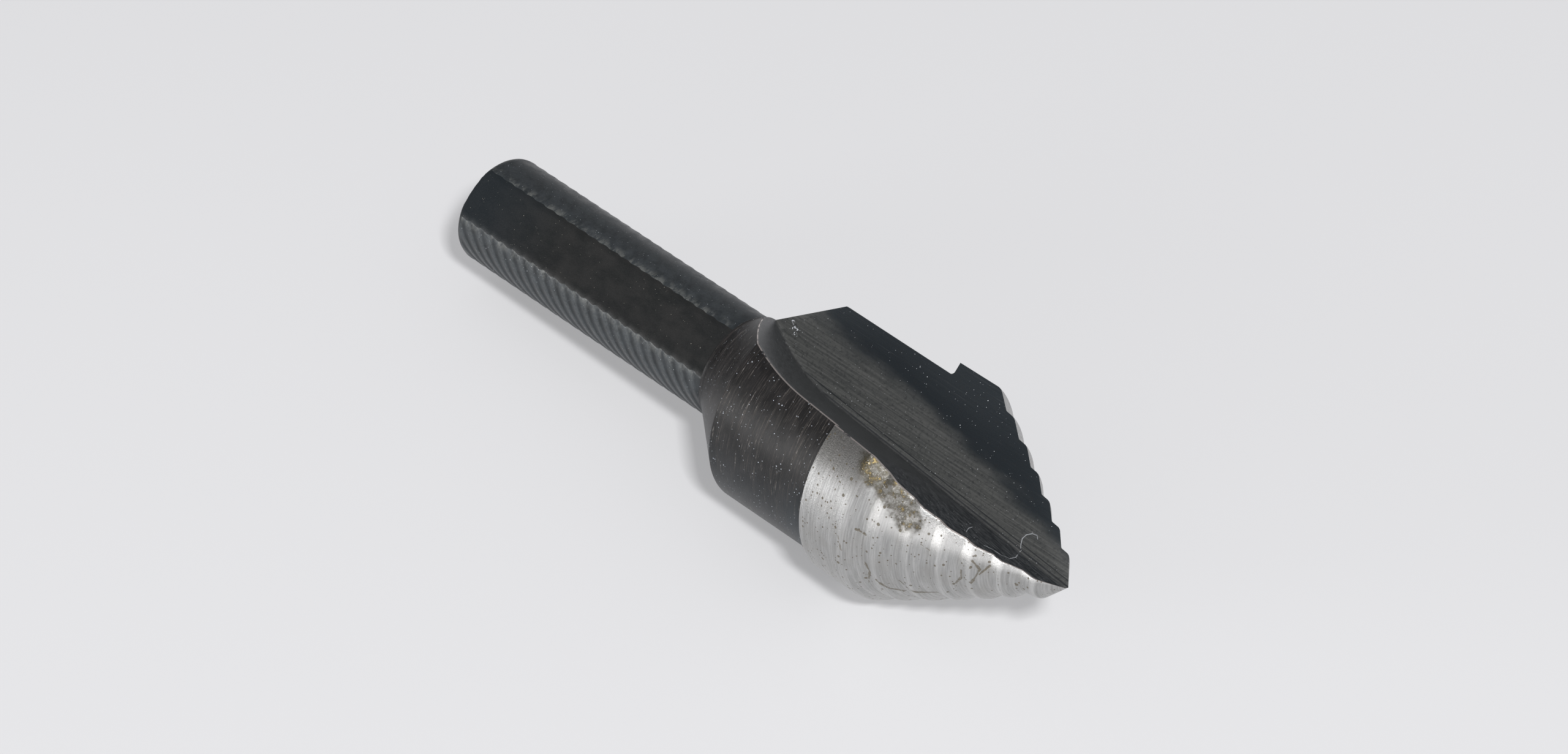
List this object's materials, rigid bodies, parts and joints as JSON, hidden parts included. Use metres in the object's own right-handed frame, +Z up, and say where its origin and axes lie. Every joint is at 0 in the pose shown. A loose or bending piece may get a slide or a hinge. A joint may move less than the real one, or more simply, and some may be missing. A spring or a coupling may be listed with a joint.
{
  "type": "step drill",
  "caption": "Single-flute step drill in blackened steel, with a bright ground nose of seven steps and a 3/8 in shank with three flats for a drill chuck.",
  "frame": {"origin": "under the middle of the bounding box, on the floor that the drill lies on", "axes": "+X level and towards the tip, +Z up, as the drill lies on its widest land and the back of its body, nearly heavy side down"},
  "size_m": [0.067, 0.0202, 0.0182],
  "materials": {
    "steel": "satin"
  },
  "bodies": {
    "root": {"step_drill": "steel"}
  },
  "joints": []
}
